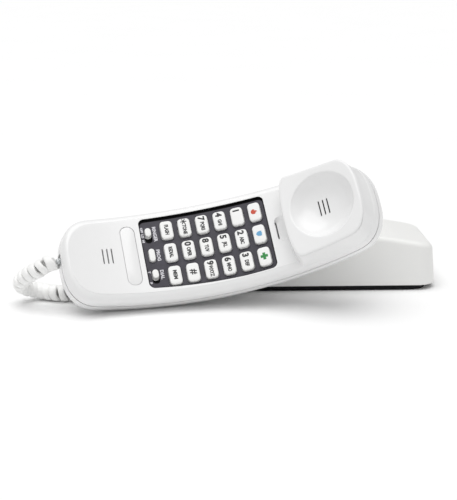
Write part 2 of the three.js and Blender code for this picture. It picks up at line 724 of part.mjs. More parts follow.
// ---------------------------------------------------------------- curly cord
function cordTube() {
  const curve = new THREE.CatmullRomCurve3(cordRoute.map((p) => new THREE.Vector3(...p)));
  const section = new THREE.Shape();
  for (let i = 0; i < cord.sides; i += 1) {
    const angle = (2 * Math.PI * i) / cord.sides;
    const x = cord.radius * Math.cos(angle);
    const y = cord.radius * Math.sin(angle);
    if (i === 0) {
      section.moveTo(x, y);
    } else {
      section.lineTo(x, y);
    }
  }
  section.closePath();
  const geometry = new THREE.ExtrudeGeometry(section, { steps: cord.steps, extrudePath: curve });
  return named('curly_cord', toSolid(geometry), cordWhite);
}

// ---------------------------------------------------------------- assembly
const phone = new THREE.Group();

const handsetGroup = new THREE.Group();
handsetGroup.position.copy(handset.position);
handsetGroup.rotation.copy(new THREE.Euler(handset.tilt, -handset.climb, handset.yaw, 'ZYX'));
handsetGroup.add(frontHousing(), backHousing(), keypadPanel(), badgePlate());
handsetGroup.add(...keys(), ...controlCaps(), ...handsetInsides(), ...handsetScrews());
handsetGroup.add(meshIn(handsetJackFrame(), 'handset_jack', jackSolid(), black));
handsetGroup.add(meshIn(handsetJackFrame(), 'handset_plug', plugSolid(), clear));

const baseGroup = new THREE.Group();
baseGroup.add(baseShell(), basePlate(), ...feet(), ...baseScrews(), ...hookParts(), ...baseInsides());
baseGroup.add(meshIn(baseJackFrame(), 'base_jack', jackSolid(), black));
baseGroup.add(meshIn(baseJackFrame(), 'base_plug', plugSolid(), clear));
baseGroup.add(meshIn(lineJackFrame(), 'line_jack', jackSolid(), black));

phone.add(handsetGroup, baseGroup, cordTube());

export default phone;
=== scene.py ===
"""Slimline corded telephone, laid off-hook against its base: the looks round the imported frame.

Shape code works in millimetres and its meshes are stored in metres. The handset has its own
coordinates: s runs along its curved face towards the earpiece, v across it and n out of it.
"""
import json
import math

import bmesh
import bpy
import numpy as np
from mathutils import Matrix, Vector


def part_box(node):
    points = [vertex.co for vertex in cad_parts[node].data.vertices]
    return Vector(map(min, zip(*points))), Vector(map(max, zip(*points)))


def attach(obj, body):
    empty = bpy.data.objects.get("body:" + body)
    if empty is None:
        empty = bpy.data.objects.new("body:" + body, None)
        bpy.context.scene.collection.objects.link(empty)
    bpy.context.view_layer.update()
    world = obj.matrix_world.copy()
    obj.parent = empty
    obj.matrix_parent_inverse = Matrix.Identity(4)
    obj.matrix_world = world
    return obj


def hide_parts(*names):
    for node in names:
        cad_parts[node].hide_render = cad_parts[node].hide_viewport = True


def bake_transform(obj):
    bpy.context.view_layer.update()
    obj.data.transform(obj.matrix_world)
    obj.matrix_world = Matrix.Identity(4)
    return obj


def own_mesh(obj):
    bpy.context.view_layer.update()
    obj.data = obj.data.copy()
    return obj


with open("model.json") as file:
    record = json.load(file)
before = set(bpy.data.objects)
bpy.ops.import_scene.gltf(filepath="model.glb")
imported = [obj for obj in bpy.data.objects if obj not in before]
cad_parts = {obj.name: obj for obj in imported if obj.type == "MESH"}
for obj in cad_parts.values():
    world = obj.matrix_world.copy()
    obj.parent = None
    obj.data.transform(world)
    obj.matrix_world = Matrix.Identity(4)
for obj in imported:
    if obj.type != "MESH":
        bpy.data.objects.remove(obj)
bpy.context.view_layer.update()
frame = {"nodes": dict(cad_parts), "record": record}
MM = 0.001

# ---- driving dimensions
HANDSET = {"origin": (-46.9, -64.1, 41.9), "yaw": 2.1, "climb": 11.1, "tilt": 51.8, "bend": 200.0}
MOUTH_END, EAR_END = -102.9, 111.0
HALF_WIDTH, SIDE_BOW, BOW_AT = 33.5, 2.7, 85.0
MOUTH_CORNER, EAR_CORNER = (22.5, 2.7), (22.0, 2.6)  # length along s and the power of the curve
SEAM_FRONT, SEAM_BACK = -9.7, -10.7
MOUTH_EDGE_SHARE = 0.45  # the face's edge is tighter round the mouth end than along the sides
HANDSET_SCREWS = (-60.0, 52.0)
GAP = 0.3

EAR_BLOCK = {"start": 49.3, "height": 12.0, "corner": (8.0, 2.4)}
DISH = {"s": 81.2, "v": 0.7, "depth": 8.0, "stretch": 1.06}
SLOT = {"length": 11.0, "width": 0.9, "corner": 0.42, "pitch": 3.1, "count": 3}
MOUTH_SLOTS, EAR_SLOTS = (-73.8, 1.2), (79.3, 1.6)
NOTCH = {"start": 42.2, "v": -1.0, "length": 8.0, "width": 18.0, "corner": 3.5, "depth": 2.2}
# growth of the notch's outline and share of its depth, from its floor up
NOTCH_SCOOP = [(-6.2, -1.0), (-4.8, -0.85), (-2.6, -0.48), (-0.8, -0.14), (0, 0.03)]
PANEL = {
    "start": -49.0, "end": 38.0, "margin": 6.3, "corner": 3.6, "top": -1.3, "thickness": 0.9,
    "taper": 2.0, "taper_from": 15.0,
}
PLATE_FAR_SHIFT = -1.4  # the faceplate stops short of its recess's far wall
# a patch is its middle's s and v, its size along and across the handset, and its corners' radius
BADGE_PATCH = (-57.9, 0.4, 9.6, 43.0, 4.5)
BADGE_BOTTOM, BADGE_TOP = -1.05, -0.15
EAR_ROOM_PATCH = (DISH["s"], 0, 50, 45, 10)
NOTCH_SLIT_PATCH = (NOTCH["start"] + 0.6, NOTCH["v"], 0.8, 12.5, 0.35)

KEY = {"along": 8.4, "across": 13.2, "corner": 2.4, "top": 1.4, "round": 0.8, "dome": 0.14}
KEY_PITCH, KEY_ROW_PITCH, KEY_MIDDLE = 12.3, 16.86, -0.8
KEY_FLOOR = -3.2
CONTROL = {"along": 4.2, "corner": 2.0, "top": 0.9, "round": 0.6, "dome": 0.2}
CONTROL_S = -43.7
CONTROLS = {  # place across the face, width and travel
    "ringer_switch": (16.3, 6.3, 4.0),
    "prog_button": (-0.8, 9.3, 0.0),
    "dial_mode_switch": (-14.8, 6.3, 3.0),
}
DIGIT_TEXT, HASH_TEXT, WORD_TEXT = (5.9, 0.26), (6.4, 0.16), (3.5, 0.17)  # size and extra weight
DIGIT_V, LETTERS_V = 4.1, -1.7
PANEL_TEXT_WEIGHT = 0.13
LEGEND_HALF, LEGEND_LIFT = 0.03, 0.02  # half thickness, and height over the surface

BASE = {"length": 224.0, "width": 76.0, "corner": 14.0, "bottom": 3.7, "crown": 43.3, "arch": 515.0}
BASE_DRAFT, BASE_END_DRAFT = math.tan(math.radians(8)), math.tan(math.radians(4.5))
BASE_WALL, BASE_ROUND, BASE_FOOT_INSET, BASE_SPINE = 2.5, 4.4, 0.3, 70
PLATE = {"length": 212.0, "width": 73.4, "corner": 14.0, "thickness": 3.4}
KEYHOLE = {"x": 50.0, "radius": 4.6, "slot": 9, "slot_half": 2.4}
FOOT = {"x": 88, "y": 26, "radius": 6.3, "depth": 1.5}
PLATE_SCREW = {"x": 57, "y": 24, "head": 3.1, "head_depth": 1.3, "hole": 1.6}
SEAT = {"start": 44.5, "end": 86.0, "width": 56.0, "floor": 36.8, "corner": 8.0}
OVER_BASE = 60  # a height past the base's top
SHELF_MARGIN = 4
PLUNGER = {"x": 62.0, "radius": 3.0, "rise": 5.0}
SPRING = {"wire": 0.6, "turns": 9, "steps": 20}
TAB = {"x": 39.5, "width": 9.0, "thickness": 2.2, "bottom": 32.0, "top": 45.8}
PLUG = {"along": 12.0, "width": 7.6, "height": 5.6, "tail": 3.0}
HANDSET_JACK = {"s": -101.6, "v": 4.5, "n": -12.8, "lift": 9.0}
BASE_JACK_X, JACK_Z = -75.0, 12.0

COIL = {
    "outer": 5.7, "pitch": 5.6, "width": 5.2, "thickness": 3.2, "power": 3.4, "space": 0.14, "lead": 1.3,
    "steps": 22, "narrow": 0.62, "wide": 1.45,
}
# middle of the curly cord's coil from the handset's plug to the base's plug
CORD_ROUTE = [
    (-154.6, -76.9, 33.6), (-158.4, -77.5, 32.7), (-162.0, -77.7, 30.8), (-165.8, -76.9, 28.2),
    (-170.4, -74.7, 25.5), (-174.8, -71.4, 22.0), (-178.3, -67.1, 18.0), (-179.5, -61.7, 13.6),
    (-177.2, -56.2, 10.0), (-172.3, -52.5, 7.7), (-166.2, -51.9, 6.2), (-159.0, -54.4, 5.8),
    (-151.9, -56.6, 5.8), (-143.6, -55.6, 5.8), (-135.0, -50.8, 5.8), (-128.4, -41.4, 5.8),
    (-124.8, -28.0, 5.8), (-123.6, -10.0, 5.8), (-123.6, 12.0, 5.8), (-122.8, 32.0, 5.8),
    (-119.8, 50.0, 5.8), (-111.6, 64.8, 5.9), (-98.8, 72.0, 6.4), (-86.4, 70.8, 8.0),
    (-78.6, 63.6, 10.2), (-75.4, 53.6, 11.6), (-75.0, 46.0, 12.0), (-75.0, 40.2, 12.0),
]
CORD_REST = (-112, 50, 5.8)  # a point on the table beside the cord's run

CAMERA = {"target": (-0.0385, -0.0802, 0.0416), "distance": 0.80, "turn": 2.0, "elevation": 14.3}
CAMERA_LENS = 86.4
OVERHEAD = {"direction": (-0.1, -0.08, 1.0), "strength": 1.9, "spread": 60.0}  # direction to the light
WORLD_STRENGTH, FLOOR_REACH = 0.5, 60.0
HARD_ANGLE = 32.0


# ---- coordinates
def turn_matrix(axis, degrees):
    return np.array(Matrix.Rotation(math.radians(degrees), 3, axis))


HANDSET_TURN = (
    turn_matrix("Z", HANDSET["yaw"])
    @ turn_matrix("Y", -HANDSET["climb"])
    @ turn_matrix("X", HANDSET["tilt"])
)


def on_handset(points):
    """Handset coordinates s, v, n in mm to the row frame in metres."""
    s, v, n = np.asarray(points, float).T
    angle = s / HANDSET["bend"]
    radius = HANDSET["bend"] - n
    local = np.stack([radius * np.sin(angle), v, HANDSET["bend"] - radius * np.cos(angle)], axis=1)
    return (local @ HANDSET_TURN.T + np.array(HANDSET["origin"])) * MM


def plain(points):
    return np.asarray(points, float) * MM


def framed(origin, outward, across):
    """Placer for pieces made with +Z leaving a wall: x goes across cross outward and y along across."""
    first = np.cross(across, outward)
    axes = np.stack([first, across, outward], axis=1)

    def place(points):
        return (np.asarray(points, float) @ axes.T + np.asarray(origin)) * MM

    return place


# ---- meshes
def linked(name, data):
    """A new object in the scene."""
    made = bpy.data.objects.new(name, data)
    bpy.context.scene.collection.objects.link(made)
    return made


def make_object(name, points, faces, material, sharp=HARD_ANGLE):
    mesh = bpy.data.meshes.new(name)
    mesh.from_pydata([tuple(p) for p in points], [], faces)
    mesh.validate()
    made = linked(name, mesh)
    made.data.materials.append(material)
    tidy_mesh(made, sharp)
    return made


def tidy_mesh(made, sharp=HARD_ANGLE):
    """Merges doubles, turns faces outwards and keeps edges past `sharp` degrees hard."""
    bm = bmesh.new()
    bm.from_mesh(made.data)
    bmesh.ops.remove_doubles(bm, verts=bm.verts, dist=2e-6)
    bmesh.ops.dissolve_degenerate(bm, edges=bm.edges, dist=1e-7)
    bmesh.ops.recalc_face_normals(bm, faces=bm.faces)
    limit = math.radians(sharp)
    for face in bm.faces:
        face.smooth = True
    for edge in bm.edges:
        edge.smooth = len(edge.link_faces) == 2 and edge.calc_face_angle(math.pi) < limit
    bm.to_mesh(made.data)
    bm.free()


def stack(rings):
    """Vertices and side faces through closed rings of equally many points."""
    count = len(rings[0])
    points = np.concatenate(rings)
    faces = []
    for r in range(len(rings) - 1):
        for i in range(count):
            a, b = r * count + i, r * count + (i + 1) % count
            faces.append((a, b, b + count, a + count))
    return points, faces


def strip_cap(ring, across=14):
    """Closes a ring that mirrors itself about its first and middle points, with a grid between sides."""
    half = len(ring) // 2
    points = [ring[0], ring[half]]
    rows = []
    for i in range(1, half):
        far, near = ring[i], ring[len(ring) - i]
        rows.append([len(points) + k for k in range(across + 1)])
        points.extend(far + (near - far) * k / across for k in range(across + 1))
    faces = []
    for low, high in zip(rows, rows[1:]):
        faces.extend((low[k], low[k + 1], high[k + 1], high[k]) for k in range(across))
    for k in range(across):
        faces.append((0, rows[0][k + 1], rows[0][k]))
        faces.append((1, rows[-1][k], rows[-1][k + 1]))
    return np.array(points), faces


def joined(*parts):
    """One list of vertices and faces from several."""
    points, faces, start = [], [], 0
    for some, their in parts:
        points.append(np.asarray(some, float))
        faces.extend(tuple(start + i for i in face) for face in their)
        start += len(some)
    return np.concatenate(points), faces


def mirrored_solid(ring_of, levels):
    """A solid through rings that mirror themselves, one for each level's arguments."""
    rings = [ring_of(*level) for level in levels]
    return joined(stack(rings), strip_cap(rings[0]), strip_cap(rings[-1]))


def smooth_profile(points, per_span=4):
    """Catmull-Rom through a short list of points."""
    p = np.asarray(points, float)
    p = np.concatenate([[2 * p[0] - p[1]], p, [2 * p[-1] - p[-2]]])
    made = []
    for i in range(1, len(p) - 2):
        for t in np.arange(per_span) / per_span:
            a = 2 * p[i] + (p[i + 1] - p[i - 1]) * t
            b = (2 * p[i - 1] - 5 * p[i] + 4 * p[i + 1] - p[i + 2]) * t**2
            c = (3 * p[i] - p[i - 1] - 3 * p[i + 1] + p[i + 2]) * t**3
            made.append((a + b + c) / 2)
    made.append(p[-2])
    return np.array(made)


def fillet(top, radius, steps):
    """(inset, height) pairs of a quarter round that ends level at `top`."""
    angles = np.linspace(0, math.pi / 2, steps + 1)
    return [(radius * (1 - math.cos(a)), top - radius * (1 - math.sin(a))) for a in angles]


def combine(made, other, operation):
    """Joins another object to a piece, or cuts it away, and removes that object."""
    modifier = made.modifiers.new("combine", "BOOLEAN")
    modifier.operation = operation
    modifier.solver = "EXACT"
    modifier.object = other
    depsgraph = bpy.context.evaluated_depsgraph_get()
    mesh = bpy.data.meshes.new_from_object(made.evaluated_get(depsgraph))
    made.modifiers.clear()
    old = made.data
    made.data = mesh
    mesh.name = made.name
    bpy.data.meshes.remove(old)
    bpy.data.objects.remove(other)


def cut(made, cutters):
    """Subtracts other objects, then lets large faces set the normals beside small ones."""
    material = made.data.materials[0]
    for cutter in cutters:
        combine(made, cutter, "DIFFERENCE")
    made.data.materials.clear()
    made.data.materials.append(material)
    tidy_mesh(made)
    modifier = made.modifiers.new("normals", "WEIGHTED_NORMAL")
    modifier.keep_sharp = True
    modifier.weight = 60


def tool(solid, place=on_handset):
    """A cutter object from a solid's vertices and faces."""
    points, faces = solid
    return make_object("cutter", place(points), faces, None)


def finish_piece(made, body, slot_name, *nodes):
    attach(made, body)
    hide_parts(*nodes)


# ---- outlines
def end_factor(distance, corner):
    length, power = corner
    t = np.clip(distance / length, 0, 1)
    return (1 - (1 - t) ** power) ** (1 / power)


def corner_steps(corner, count=14):
    """Distances from an end that space points evenly round its corner."""
    length, power = corner
    angles = np.linspace(0, math.pi / 2, count + 1)[1:]
    return length * (1 - np.cos(angles) ** (2 / power))


def side_at(s):
    return HALF_WIDTH - SIDE_BOW * (s / BOW_AT) ** 2


def handset_ring(start, end, inset, n, first_corner, last_corner, middle=60):
    """A ring at depth n that mirrors itself about v = 0."""
    first = start + corner_steps(first_corner)
    last = (end - corner_steps(last_corner))[::-1]
    s = np.concatenate([first, np.linspace(first[-1], last[0], middle + 1)[1:-1], last])
    factor = np.minimum(end_factor(s - start, first_corner), end_factor(end - s, last_corner))
    v = (side_at(s) - inset) * factor
    level = np.full(len(s), n)
    far = np.stack([s, v, level], axis=1)
    near = np.stack([s, -v, level], axis=1)[::-1]
    return np.concatenate([[(start, 0, n)], far, [(end, 0, n)], near])


def housing_ring(inset, n, end_share=1.0):
    start, end = MOUTH_END + inset * end_share, EAR_END - inset
    return handset_ring(start, end, inset, n, MOUTH_CORNER, EAR_CORNER)


def rounded_ring(length, width, corner, level=0.0, steps=8, shift=(0.0, 0.0)):
    """A rounded rectangle about a point, as x, y, z."""
    x, y = length / 2 - corner, width / 2 - corner
    centres = [(x, y), (-x, y), (-x, -y), (x, -y)]
    angles = [(q + i / steps) * math.pi / 2 for q in range(4) for i in range(steps + 1)]
    quarters = [q for q in range(4) for _ in range(steps + 1)]
    ring = [
        (centres[q][0] + corner * math.cos(a) + shift[0], centres[q][1] + corner * math.sin(a) + shift[1])
        for q, a in zip(quarters, angles)
    ]
    return np.array([(x, y, level) for x, y in ring])


def subdivided(ring, longest):
    """Adds points to a ring's long stretches, so that it can follow a bent face."""
    made = []
    for a, b in zip(ring, np.roll(ring, -1, axis=0)):
        count = max(1, math.ceil(np.linalg.norm(b - a) / longest))
        made.extend(a + (b - a) * k / count for k in range(count))
    return np.array(made)


def resampled(ring, count):
    """The ring resampled to a fixed number of points."""
    closed = np.concatenate([ring, ring[:1]])
    along = np.concatenate([[0], np.cumsum(np.linalg.norm(np.diff(closed, axis=0), axis=1))])
    at = np.linspace(0, along[-1], count, endpoint=False)
    return np.stack([np.interp(at, along, closed[:, k]) for k in range(3)], axis=1)


def capped(rings):
    """A solid through rings, closed by one face at each end."""
    points, faces = stack(rings)
    count = len(rings[0])
    faces.append(tuple(range(count)))
    faces.append(tuple(range(len(points) - count, len(points))))
    return points, faces


def lofted(ring_of, levels):
    """A solid through rings, one for each level's arguments."""
    return capped([ring_of(*level) for level in levels])


def turned(profile, segments, centre=(0.0, 0.0)):
    """A solid of revolution about z, from (radius, height) pairs that start and end on the axis."""
    rings = []
    for radius, height in profile:
        a = np.linspace(0, 2 * math.pi, segments, endpoint=False)
        x, y = centre[0] + radius * np.cos(a), centre[1] + radius * np.sin(a)
        rings.append(np.stack([x, y, np.full(segments, height)], axis=1))
    return stack(rings)


def pin(radius, low, high, segments, centre):
    return turned([(0, low), (radius, low), (radius, high), (0, high)], segments, centre)


def box_part(low, high):
    (x0, y0, z0), (x1, y1, z1) = low, high
    corners = [(x, y, z) for z in (z0, z1) for x, y in ((x0, y0), (x1, y0), (x1, y1), (x0, y1))]
    faces = [(0, 3, 2, 1), (4, 5, 6, 7), (0, 1, 5, 4), (1, 2, 6, 5), (2, 3, 7, 6), (3, 0, 4, 7)]
    return np.array(corners, float), faces


# ---- materials
def noise(tree, size_mm, detail):
    """A noise texture whose grains are about size_mm across, in the object's own space."""
    place = tree.nodes.new("ShaderNodeTexCoord")
    texture = tree.nodes.new("ShaderNodeTexNoise")
    texture.inputs["Scale"].default_value = 1 / (size_mm * MM)
    texture.inputs["Detail"].default_value = detail
    tree.links.new(place.outputs["Object"], texture.inputs["Vector"])
    return texture.outputs["Fac"]


def ranged(tree, value, low, high):
    """The middle of a noise value's range, spread from low to high."""
    node = tree.nodes.new("ShaderNodeMapRange")
    node.inputs["From Min"].default_value = 0.3
    node.inputs["From Max"].default_value = 0.7
    node.inputs["To Min"].default_value = low
    node.inputs["To Max"].default_value = high
    tree.links.new(value, node.inputs["Value"])
    return node.outputs["Result"]


def tinted(tree, value, first, second):
    node = tree.nodes.new("ShaderNodeMix")
    node.data_type = "RGBA"
    node.inputs["A"].default_value = (*first, 1)
    node.inputs["B"].default_value = (*second, 1)
    tree.links.new(value, node.inputs["Factor"])
    return node.outputs["Result"]


def bumped(tree, shader, value, depth_mm):
    node = tree.nodes.new("ShaderNodeBump")
    node.inputs["Strength"].default_value = 1.0
    node.inputs["Distance"].default_value = depth_mm * MM
    tree.links.new(value, node.inputs["Height"])
    tree.links.new(node.outputs["Normal"], shader.inputs["Normal"])


def procedural(name, color, shade, rough, grain, depth, *, mottle, **sockets):
    """Colour, roughness and relief that vary over the surface.

    shade is how much darker the mottled places are and rough is a low and high value. The size of the
    mottling and of the relief's grain, and the relief's depth, are in millimetres.
    """
    material = bpy.data.materials.new(name)
    material.use_nodes = True
    tree = material.node_tree
    shader = tree.nodes["Principled BSDF"]
    darker = tuple(c * (1 - shade) for c in color)
    broad = ranged(tree, noise(tree, mottle, 4.0), 0, 1)
    tree.links.new(tinted(tree, broad, color, darker), shader.inputs["Base Color"])
    tree.links.new(ranged(tree, noise(tree, mottle / 6, 3.0), *rough), shader.inputs["Roughness"])
    bumped(tree, shader, noise(tree, grain, 2.0), depth)
    for socket, value in sockets.items():
        shader.inputs[socket.replace("_", " ")].default_value = value
    return material


WHITE = procedural("housing_white", (0.86, 0.86, 0.86), 0.012, (0.21, 0.26), 0.45, 0.0012, mottle=45.0)
BASE_WHITE = procedural("base_white", (0.86, 0.86, 0.845), 0.015, (0.36, 0.42), 0.45, 0.002, mottle=45.0)
KEY_WHITE = procedural("key_white", (0.89, 0.89, 0.88), 0.02, (0.32, 0.40), 0.3, 0.002, mottle=9.0)
CHARCOAL = procedural(
    "panel_charcoal", (0.050, 0.046, 0.062), 0.3, (0.40, 0.52), 0.35, 0.012, mottle=4.0,
    Specular_IOR_Level=0.4,
)
BLACK = procedural(
    "black_plastic", (0.006, 0.006, 0.007), 0.3, (0.45, 0.6), 0.6, 0.012, mottle=12.0,
    Specular_IOR_Level=0.15,
)
FELT = procedural(
    "black_felt", (0.004, 0.004, 0.004), 0.5, (0.9, 1.0), 0.25, 0.04, mottle=1.0, Specular_IOR_Level=0.0,
)
RUBBER = procedural("grey_rubber", (0.045, 0.045, 0.048), 0.3, (0.7, 0.85), 0.4, 0.03, mottle=6.0)
BOARD = procedural("circuit_board", (0.015, 0.10, 0.04), 0.4, (0.3, 0.5), 0.8, 0.02, mottle=3.0)
STEEL = procedural(
    "zinc_steel", (0.62, 0.62, 0.64), 0.18, (0.24, 0.42), 0.25, 0.006, mottle=3.0, Metallic=1.0,
)
CLEAR = procedural(
    "clear_plastic", (0.84, 0.87, 0.88), 0.04, (0.05, 0.12), 0.8, 0.004, mottle=4.0,
    Transmission_Weight=0.75, IOR=1.5,
)
CORD_WHITE = procedural("cord_white", (0.94, 0.94, 0.93), 0.02, (0.36, 0.48), 0.5, 0.01, mottle=14.0)


def ink(name, color, shade=0.15, rough=(0.4, 0.55)):
    return procedural(name, color, shade, rough, 0.3, 0.005, mottle=3.0)


LEGEND_DARK = ink("legend_dark", (0.018, 0.018, 0.02), 0.2, (0.45, 0.6))
LEGEND_PALE = ink("legend_pale", (0.72, 0.71, 0.75), 0.1, (0.45, 0.6))
LEGEND_RED = ink("legend_red", (0.62, 0.07, 0.03))
LEGEND_BLUE = ink("legend_blue", (0.14, 0.40, 0.66))
LEGEND_GREEN = ink("legend_green", (0.02, 0.26, 0.05))
FLOOR_PAPER = procedural("floor_paper", (0.94, 0.94, 0.94), 0.01, (0.8, 0.9), 3.0, 0.01, mottle=200.0)


# ---- camera
def make_camera():
    data = bpy.data.cameras.new("camera")
    camera = linked("camera", data)
    turn, elevation = math.radians(CAMERA["turn"]), math.radians(CAMERA["elevation"])
    back = Vector((
        -math.sin(turn) * math.cos(elevation), -math.cos(turn) * math.cos(elevation), math.sin(elevation),
    ))
    camera.location = Vector(CAMERA["target"]) + back * CAMERA["distance"]
    camera.rotation_euler = back.to_track_quat("Z", "Y").to_euler()
    data.lens = CAMERA_LENS
    data.sensor_width = 36.0
    bpy.context.scene.camera = camera


make_camera()


# ---- curly cord
def spline(points, step):
    """Evenly spaced points on a smooth curve through a list of points."""
    dense = smooth_profile(points, 24)
    along = np.concatenate([[0], np.cumsum(np.linalg.norm(np.diff(dense, axis=0), axis=1))])
    at = np.linspace(0, along[-1], int(along[-1] / step) + 1)
    return np.stack([np.interp(at, along, dense[:, k]) for k in range(3)], axis=1), at


def carried_frames(line):
    """Two directions across the line, carried along it without twist."""
    tangents = np.gradient(line, axis=0)
    tangents /= np.linalg.norm(tangents, axis=1)[:, None]
    normal = np.cross(tangents[0], (0, 0, 1))
    normals = []
    for tangent in tangents:
        normal = normal - tangent * (normal @ tangent)
        normal /= np.linalg.norm(normal)
        normals.append(normal)
    normals = np.array(normals)
    return normals, np.cross(tangents, normals)


def coil_line(line, along):
    """The wire's own line round the coil's middle, and the outward direction at each point."""
    normals, others = carried_frames(line)
    ramp = np.clip(np.minimum(along, along[-1] - along) / COIL["lead"], 0, 1)
    ramp = ramp * ramp * (3 - 2 * ramp)
    angle = 2 * math.pi * along / COIL["pitch"]
    outward = normals * np.cos(angle)[:, None] + others * np.sin(angle)[:, None]
    radius = (COIL["outer"] - COIL["thickness"] / 2) * ramp
    return line + outward * radius[:, None], outward


def squared(value, power):
    """A sine or cosine bent so that a circle becomes a squarer curve."""
    return np.sign(value) * np.abs(value) ** (2 / power)


def turn_widths(wire, per_turn):
    """Widths that let neighbouring turns almost meet: narrower inside a bend, wider outside."""
    room = np.linalg.norm(wire[per_turn:] - wire[:-per_turn], axis=1)
    half = per_turn // 2
    room = np.concatenate([np.full(half, room[0]), room, np.full(per_turn - half, room[-1])])
    room = np.convolve(np.pad(room, 2, mode="edge"), np.ones(5) / 5, mode="valid")
    width = COIL["width"]
    return np.clip(room - COIL["space"], COIL["narrow"] * width, COIL["wide"] * width)


def sweep(line, outward, width, thickness, power, sides=14):
    """A closed tube along a line, from round (power 2) to square. Its thickness is along outward."""
    tangents = np.gradient(line, axis=0)
    tangents /= np.linalg.norm(tangents, axis=1)[:, None]
    outward = outward - tangents * (outward * tangents).sum(1)[:, None]
    outward /= np.linalg.norm(outward, axis=1)[:, None]
    side = np.cross(tangents, outward)
    angles = np.linspace(0, 2 * math.pi, sides, endpoint=False) + math.pi / sides
    high = squared(np.cos(angles), power)[:, None] * thickness / 2
    wide = squared(np.sin(angles), power)[:, None] / 2
    return capped([p + high * o + wide * w * size for p, o, w, size in zip(line, outward, side, width)])


def curly_cord():
    line, along = spline(CORD_ROUTE, COIL["pitch"] / COIL["steps"])
    wire, outward = coil_line(line, along)
    points, faces = sweep(wire, outward, turn_widths(wire, COIL["steps"]), COIL["thickness"], COIL["power"])
    made = make_object("coiled_handset_cord", plain(points), faces, CORD_WHITE, sharp=60.0)
    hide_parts("curly_cord")
    plain(CORD_REST)
    plain(CORD_ROUTE[0])
    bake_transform(made)
    length = float(np.linalg.norm(np.diff(wire, axis=0), axis=1).sum()) * MM
    path = plain(wire)
    return made, length, path


cord, cord_length, cord_path = curly_cord()


# ---- handset housings
def ear_block_ring(inset, n, start_shift, end_shift, corner_length):
    start, end = EAR_BLOCK["start"] + start_shift, EAR_END - end_shift
    corner = (corner_length, EAR_CORNER[1])
    return handset_ring(start, end, inset, n, EAR_BLOCK["corner"], corner, middle=24)


def face_cutter(ring_of, levels):
    """A cutter on the handset through rings given as (growth, height) pairs."""
    return tool(lofted(ring_of, levels))


def patch_ring(s, v, along, across, corner):
    """Function that gives a rounded rectangle on the face, grown by some amount, at a depth."""
    def ring_of(grow, n):
        ring = rounded_ring(along + 2 * grow, across + 2 * grow, corner + grow, n, 6, (s, v))
        return subdivided(ring, 4.0)

    return ring_of


def panel_ring(grow, n, far_shift=0.0):
    """The keypad panel's outline: its far side follows the housing and its near side tapers."""
    start, end = PANEL["start"] - grow, PANEL["end"] + grow
    corner = PANEL["corner"] + grow
    steps = corner * (1 - np.cos(np.linspace(0, math.pi / 2, 9)[1:]))
    straight = np.linspace(start + corner, end - corner, 24)[1:-1]
    s = np.concatenate([start + steps, straight, (end - steps)[::-1]])
    inward = np.minimum(np.minimum(s - start, end - s), corner)
    v = side_at(s) - PANEL["margin"] + grow - (corner - np.sqrt(corner**2 - (corner - inward) ** 2))
    level = np.full(len(s), n)
    share = np.clip((PANEL["taper_from"] - s) / (PANEL["taper_from"] - PANEL["start"]), 0, 1)
    far = np.stack([s, v + far_shift, level], axis=1)
    near = np.stack([s, PANEL["taper"] * share - v, level], axis=1)[::-1]
    return np.concatenate([[(start, 0, n)], far, [(end, 0, n)], near])


def notch_ring(grow, n):
    """The finger notch: upright on its mouth side and scooped up towards the ear block."""
    length = NOTCH["length"] + grow
    corner = min(NOTCH["corner"], length / 2 - 0.05)
    width = NOTCH["width"] + min(grow, 0) * 0.9
    ring = rounded_ring(length, width, corner, n, 6, (NOTCH["start"] + length / 2, NOTCH["v"]))
    return resampled(ring, 80)


def slot_cutters(s, v, low, high):
    middle = (SLOT["count"] - 1) / 2
    levels = [(0, low), (0, high - 0.1), (0.14, high + 0.06), (0.25, high + 3)]
    cutters = []
    for i in range(SLOT["count"]):
        place = s + (i - middle) * SLOT["pitch"]
        ring_of = patch_ring(place, v, SLOT["width"], SLOT["length"], SLOT["corner"])
        cutters.append(face_cutter(ring_of, levels))
    return cutters


def dish_cutter():
    """The earpiece's shallow bowl with a rounded rim, slightly longer than wide."""
    top = EAR_BLOCK["height"]
    floor = top - DISH["depth"]
    bowl = smooth_profile([
        (0, floor), (8, floor + 0.25), (14.5, floor + 1.9), (18.9, floor + 4.6), (21.7, top - 1.1),
        (22.6, top - 0.2), (23.6, top + 0.03),
    ], 6)
    rim = [(24.2, top + 0.15), (24.2, top + 5), (0, top + 5)]
    points, faces = turned([tuple(p) for p in bowl] + rim, 72)
    return tool((points * (DISH["stretch"], 1, 1) + (DISH["s"], DISH["v"], 0), faces))


def at_face(s, v):
    """Placer for shapes made about a straight axis that leaves the face at s, v."""
    angle = s / HANDSET["bend"]
    sine, cosine = math.sin(angle), math.cos(angle)
    local = np.array([[cosine, 0, -sine], [0, 1, 0], [sine, 0, cosine]])
    origin = on_handset([(s, v, 0)])[0]

    def place(points):
        return np.asarray(points, float) @ (HANDSET_TURN @ local).T * MM + origin

    return place


def handset_jack_place():
    lift = math.radians(HANDSET_JACK["lift"])
    outward = HANDSET_TURN @ np.array((-math.cos(lift), 0, math.sin(lift)))
    across = HANDSET_TURN @ np.array((0, 1, 0))
    origin = on_handset([(HANDSET_JACK["s"], HANDSET_JACK["v"], HANDSET_JACK["n"])])[0] / MM
    return framed(origin, outward, across)


def plug_opening(place):
    x, y = PLUG["height"] / 2 + 0.4, PLUG["width"] / 2 + 0.4
    return tool(box_part((-x, -y, -9), (x, y, 8)), place)


